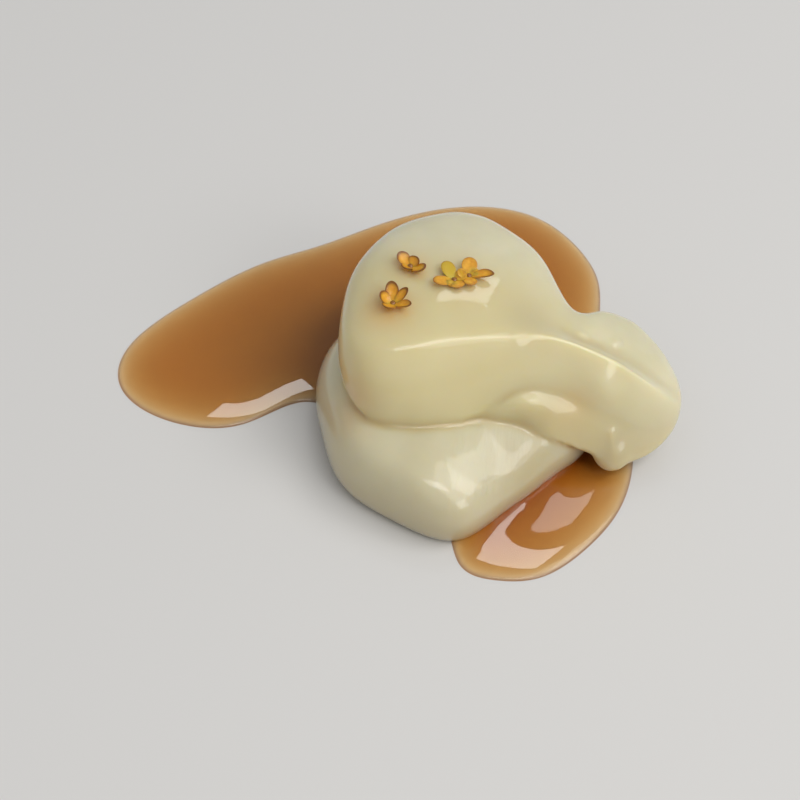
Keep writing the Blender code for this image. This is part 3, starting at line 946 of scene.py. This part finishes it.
def blossom(name, middle, petals, ground):
    """Petals round a dark eye, lying on the dough."""
    place, normal, _, _ = ground.ray_cast(Vector((*middle, ABOVE)) * MM, Vector((0, 0, -1)))
    upright = Vector((0, 0, 1)).rotation_difference(normal).to_matrix()
    points, faces, rims, greens = [], [], [], []
    for direction, length, width, lean, cup, curl, rim, green in petals:
        shape, shares = petal(length, width, cup, math.radians(curl))
        turn = Matrix.Rotation(math.radians(direction), 3, "Z")
        turn = turn @ Matrix.Rotation(-math.radians(lean), 3, "Y")
        faces += petal_faces(len(points))
        points += [turn @ (Vector(point) + Vector(PETAL_START)) for point in shape]
        rims += [rim * share for share in shares]
        greens += [green] * len(shape)
    flower = facing_out(mesh_object(name, [place / MM + upright @ point for point in points], faces))
    set_attribute(flower, "rim", rims)
    set_attribute(flower, "green", greens)
    with editing(flower) as work:
        bmesh.ops.remove_doubles(work, verts=work.verts, dist=WELD * MM)
    eye = ellipsoid(name + "_eye", place / MM + normal * EYE_RISE, EYE_RADII, subdivisions=3)
    for obj in (flower, eye):
        obj.data.shade_smooth()
    return flower, eye


# ---- syrup ----
def pool_outline():
    """Points round the pool, with the outward direction at each."""
    count = len(POOL)
    around = [(i, *POOL[i % count]) for i in range(-POOL_OVERLAP, count + POOL_OVERLAP + 1)]
    steps = [i / POOL_STEPS for i in range(count * POOL_STEPS)]
    points = [Vector((curve_at(around, t, 1), curve_at(around, t, 2))) for t in steps]
    outward = []
    for i in range(len(points)):
        along = points[(i + 1) % len(points)] - points[i - 1]
        outward.append(Vector((along.y, -along.x)).normalized())
    if sum(a.x * b.y - a.y * b.x for a, b in zip(points, points[1:] + points[:1])) < 0:
        outward = [-direction for direction in outward]
    return points, outward


def gap_to(outline, spot):
    """Distance from a spot to a closed outline."""
    ahead = np.roll(outline, -1, 0) - outline
    along = np.clip(((spot - outline) * ahead).sum(1) / (ahead**2).sum(1), 0, 1)
    return np.linalg.norm(outline + along[:, None] * ahead - spot, axis=1).min()


def gap_to_points(points, spot):
    """Distance from a spot to the nearest of some points."""
    return np.hypot(*(points - spot).T).min()


def within(outline, spot):
    """True if a spot lies inside a closed outline."""
    x0, y0 = outline.T
    x1, y1 = np.roll(outline, -1, 0).T
    crosses = (y0 > spot[1]) != (y1 > spot[1])
    rise = np.where(y1 == y0, 1.0, y1 - y0)
    return bool((crosses & (spot[0] < (x1 - x0) * (spot[1] - y0) / rise + x0)).sum() % 2)


def pool_plan(points, outward, edge):
    """Points of the pool from above: its outline, lines that follow it inside, and a grid."""
    flat = list(points)
    for inset in POOL_INSETS:
        for point, direction in zip(points, outward):
            spot = point - inset * direction
            if gap_to_points(edge, np.array(spot)) > INSET_LEAST * inset:
                flat.append(spot)
    low, high = edge.min(0), edge.max(0)
    clear = POOL_INSETS[-1] + 0.5 * POOL_GRID
    for row, y in enumerate(np.arange(low[1], high[1], POOL_GRID * POOL_ROWS)):
        for x in np.arange(low[0] + (row % 2) * POOL_GRID / 2, high[0], POOL_GRID):
            spot = np.array((x, y))
            if within(edge, spot) and gap_to_points(edge, spot) > clear:
                flat.append(Vector(spot))
    return flat


def pool_height(spot, edge, dough_surface):
    """Height of the syrup: steep at its edge, then level, and higher where it climbs the dough."""
    inset = gap_to(edge, np.array(spot))
    if inset < EDGE_LEAST:
        inset = 0.0
    along = min(inset / POOL_EDGE, 1)
    gap = dough_surface.find_nearest(Vector((*spot, POOL_HEIGHT)) * MM)[3] / MM
    climb = CLIMB_HEIGHT * math.exp(-gap / CLIMB_REACH) * along
    return POOL_HEIGHT * math.sqrt(1 - (1 - along) ** 2) + climb


def dough_room(body):
    """The foot of the dough, a little smaller all round and with its underside lower."""
    room = copy_of(body, "dough_room")
    cut_level(room, ROOM_HEIGHT, keep_above=False)
    shrink = room.modifiers.new("shrink", "DISPLACE")
    shrink.strength = -WETTED * MM
    shrink.mid_level = 0
    settled(room)
    points = positions(room)
    points[points[:, 2] < ROOM_FLOOR * MM, 2] -= ROOM_DEPTH * MM
    move_points(room, points)
    return room


def pool(body):
    """The syrup: a flat drop with a round edge that climbs the dough a little."""
    dough_surface = surface_of(body)
    points, outward = pool_outline()
    edge = np.array([(point.x, point.y) for point in points])
    count = len(points)
    flat = pool_plan(points, outward, edge)
    verts, _, faces, *_ = delaunay_2d_cdt(flat, [], [tuple(range(count))], 1, JOIN_BELOW)
    top = [(vert.x, vert.y, pool_height(vert, edge, dough_surface)) for vert in verts]
    under = [(vert.x, vert.y, -POOL_SINK) for vert in verts]
    start = len(top)
    sheets = [tuple(face) for face in faces] + [tuple(start + i for i in face[::-1]) for face in faces]
    sides = [(i, (i + 1) % count, start + (i + 1) % count, start + i) for i in range(count)]
    syrup = facing_out(mesh_object("syrup", top + under, sheets + sides))
    room = dough_room(body)
    cut = syrup.modifiers.new("cut", "BOOLEAN")
    cut.operation = "DIFFERENCE"
    cut.object = room
    settled(syrup)
    bpy.data.objects.remove(room, do_unlink=True)
    insets = np.array([gap_to(edge, spot[:2]) for spot in positions(syrup) / MM])
    # painted shade: how much of the painted dark rim each point gets
    set_attribute(syrup, "edge", np.clip(1 - insets / POOL_PAINTED_RIM, 0, 1))
    syrup.data.shade_smooth()
    return syrup


# ---- materials ----
class Finish:
    """A material in the making. An input takes a number, a colour or another node's output."""

    def __init__(self, name):
        self.material = bpy.data.materials.new(name)
        self.material.use_nodes = True
        self.nodes = self.material.node_tree.nodes
        self.shader = self.nodes["Principled BSDF"]

    def give(self, node, inputs):
        """Sets or links inputs of a node, each by its name or number."""
        for name, value in inputs.items():
            socket = node.inputs[name]
            if isinstance(value, bpy.types.NodeSocket):
                self.material.node_tree.links.new(value, socket)
            elif socket.type == "RGBA":
                socket.default_value = (*value, 1)
            else:
                socket.default_value = value

    def node(self, kind, inputs, output=0, **settings):
        """Adds a node with its settings and inputs, and returns one of its outputs."""
        made = self.nodes.new(kind)
        for name, setting in settings.items():
            setattr(made, name, setting)
        self.give(made, inputs)
        return made.outputs[output]

    def attribute(self, name):
        """A share that the mesh holds for each point."""
        return self.node("ShaderNodeAttribute", {}, "Fac", attribute_name=name)

    def noise(self, size, detail=3.0, stretch=None):
        """Noise whose features are about size millimetres, and longer where stretch is small."""
        place = self.node("ShaderNodeTexCoord", {}, "Object")
        if stretch:
            place = self.node("ShaderNodeMapping", {"Vector": place, "Scale": stretch})
        inputs = {"Vector": place, "Scale": 1 / (size * MM), "Detail": detail}
        return self.node("ShaderNodeTexNoise", inputs, "Fac")

    def between(self, value, low, high, to_low=0.0, to_high=1.0):
        """A value from one range brought to another."""
        inputs = {"Value": value, "From Min": low, "From Max": high, "To Min": to_low, "To Max": to_high}
        return self.node("ShaderNodeMapRange", inputs, "Result")

    def calculated(self, operation, first, second):
        """What an operation makes of two values."""
        return self.node("ShaderNodeMath", {0: first, 1: second}, operation=operation)

    def mixed(self, share, first, second):
        """A colour between two, nearer to the second where the share is larger."""
        return self.node("ShaderNodeMix", {0: share, 6: first, 7: second}, 2, data_type="RGBA")

    def flecked(self, size, spread, colors):
        """A colour that noise takes from one to another, within a spread about its middle."""
        return self.mixed(self.between(self.noise(size), 0.5 - spread, 0.5 + spread), *colors)

    def bumped(self, height, distance, after=None):
        """The surface raised by a share of a distance in millimetres."""
        inputs = {"Height": height, "Distance": distance * MM}
        if after is not None:
            inputs["Normal"] = after
        return self.node("ShaderNodeBump", inputs, "Normal")


def dough_finish():
    """Milky, wet dough: the light goes into it, and clear syrup lies over it."""
    finish = Finish("dough")
    color = finish.flecked(size=8.0, spread=0.15, colors=DOUGH_COLORS)
    # the lip, foot, shade and hollow tints are painted shade, the lip in part
    for name, start, most, tint in DOUGH_TINTS:
        share = finish.between(finish.attribute(name), start, 1.0, 0.0, most)
        color = finish.mixed(share, color, tint)
    soft = finish.bumped(finish.noise(size=2.2), distance=0.02)
    fine = finish.bumped(finish.noise(size=0.4), distance=0.004, after=soft)
    ripple = finish.noise(RIPPLE_WIDTH, detail=2.0, stretch=RIPPLE_STRETCH)
    ripple = finish.calculated("MULTIPLY", ripple, finish.attribute("ripple"))
    rough = finish.between(finish.noise(size=2.5), low=0.3, high=0.7, to_low=0.28, to_high=0.4)
    look = {
        "Base Color": color,
        "Roughness": rough,
        "Subsurface Weight": 1.0,
        "Subsurface Radius": (1.0, 0.75, 0.42),
        "Subsurface Scale": 4.4 * MM,
        "IOR": 1.4,
        "Coat Weight": 0.9,
        "Coat Roughness": 0.05,
        "Coat IOR": 1.45,
        "Normal": finish.bumped(ripple, RIPPLE_HEIGHT, fine),
    }
    finish.give(finish.shader, look)
    return finish.material


def petal_finish():
    """Sugared petals: orange with flecks, some of them greener, with a dark rim."""
    finish = Finish("petal")
    color = finish.flecked(size=0.7, spread=0.2, colors=PETAL_COLORS)
    color = finish.mixed(finish.attribute("green"), color, PETAL_GREEN)
    color = finish.mixed(finish.calculated("MINIMUM", finish.attribute("rim"), 1.0), color, PETAL_RIM)
    look = {
        "Base Color": color,
        "Roughness": 0.4,
        "Specular IOR Level": 0.3,
        "Subsurface Weight": 0.5,
        "Subsurface Radius": (1.0, 0.5, 0.12),
        "Subsurface Scale": 0.5 * MM,
        "Coat Weight": 0.25,
        "Coat Roughness": 0.08,
        "Normal": finish.bumped(finish.noise(size=0.3, detail=2.0), distance=0.03),
    }
    finish.give(finish.shader, look)
    return finish.material


def eye_finish():
    """The dark brown eye of a blossom, with lighter flecks."""
    finish = Finish("blossom_eye")
    color = finish.flecked(size=0.2, spread=0.2, colors=EYE_COLORS)
    finish.give(finish.shader, {"Base Color": color, "Roughness": 0.3, "Coat Weight": 0.6})
    return finish.material


def syrup_finish():
    """Clear amber: the colour lies in the depth of the liquid, and lamps shine through it."""
    finish = Finish("syrup")
    look = {
        # painted shade: darker towards the rim
        "Base Color": finish.mixed(finish.attribute("edge"), (1.0, 1.0, 1.0), SYRUP_PAINTED_RIM),
        "Transmission Weight": 1.0,
        "IOR": 1.45,
        "Roughness": 0.02,
        "Normal": finish.bumped(finish.noise(size=11.0, detail=1.0), distance=0.03),
    }
    finish.give(finish.shader, look)
    shadow = finish.node("ShaderNodeLightPath", {}, "Is Shadow Ray")
    clear = finish.node("ShaderNodeBsdfTransparent", {})
    either = finish.node("ShaderNodeMixShader", {0: shadow, 1: finish.shader.outputs[0], 2: clear})
    depth = finish.node("ShaderNodeVolumeAbsorption", {"Color": SYRUP_COLOR, "Density": SYRUP_DENSITY})
    finish.give(finish.nodes["Material Output"], {"Surface": either, "Volume": depth})
    return finish.material


def floor_finish():
    """Pale and matt."""
    finish = Finish("floor")
    look = {"Base Color": FLOOR_COLOR, "Roughness": 0.7, "Specular IOR Level": 0.2}
    finish.give(finish.shader, look)
    return finish.material


# ---- stage, light and camera ----
def floor():
    """The pale floor that everything lies on."""
    corners = [(FLOOR_REACH * x, FLOOR_REACH * y, 0) for x, y in ((-1, -1), (1, -1), (1, 1), (-1, 1))]
    made = mesh_object("floor", corners, [(0, 1, 2, 3)])
    made.data.materials.append(floor_finish())


def softbox(name, azimuth, elevation, distance, width, height, radiance, color, only=None):
    """A panel of light seen from the object at an azimuth and elevation, turned towards it.

    It lights every piece, or else it is only a reflection on one.
    """
    made = bpy.data.lights.new(name, "AREA")
    made.shape = "RECTANGLE"
    made.size, made.size_y = width * MM, height * MM
    made.energy = radiance * math.pi * made.size * made.size_y
    made.color = color
    obj = bpy.data.objects.new(name, made)
    a, e = math.radians(azimuth), math.radians(elevation)
    back = Vector((math.sin(a) * math.cos(e), -math.cos(a) * math.cos(e), math.sin(e)))
    obj.location = back * distance * MM
    obj.rotation_euler = back.to_track_quat("Z", "Y").to_euler()
    bpy.context.scene.collection.objects.link(obj)
    if only:
        lit = bpy.data.collections.new(name + "_lights")
        lit.objects.link(only)
        obj.light_linking.receiver_collection = lit
        obj.visible_diffuse = obj.visible_transmission = False


def surroundings(color, strength):
    """Even light from all round."""
    world = bpy.data.worlds.new("studio")
    world.use_nodes = True
    background = world.node_tree.nodes["Background"]
    background.inputs["Color"].default_value = (*color, 1)
    background.inputs["Strength"].default_value = strength
    bpy.context.scene.world = world


def camera():
    """Looks from where the photograph was taken."""
    made = bpy.data.cameras.new("camera")
    made.sensor_width = SENSOR_WIDTH
    made.lens = LENS
    made.clip_start = 0.01
    obj = bpy.data.objects.new("camera", made)
    bpy.context.scene.collection.objects.link(obj)
    place, aim = Vector(CAMERA_PLACE) * MM, Vector(CAMERA_AIM) * MM
    look = (aim - place).to_track_quat("-Z", "Y").to_matrix().to_4x4()
    roll = Matrix.Rotation(math.radians(CAMERA_ROLL), 4, "Z")
    obj.matrix_world = Matrix.Translation(place) @ look @ roll
    bpy.context.scene.camera = obj


def dress(obj, material):
    """Gives a piece its material, and says what it rides on."""
    obj.data.materials.clear()
    obj.data.materials.append(material)
    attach(obj, "root")


camera()
body = dough()
ground = surface_of(body)
petal_material, eye_material = petal_finish(), eye_finish()
for name, (middle, petals) in BLOSSOMS.items():
    flower, eye = blossom(name, middle, petals, ground)
    dress(flower, petal_material)
    dress(eye, eye_material)
syrup = pool(body)
dress(body, dough_finish())
dress(syrup, syrup_finish())
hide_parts("mochi")
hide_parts("syrup_pool")

floor()
surroundings(*SURROUNDINGS)
for panel in SOFTBOXES:
    softbox(*panel)
softbox(*GLINT, only=syrup)
bpy.context.scene.view_settings.view_transform = "Standard"
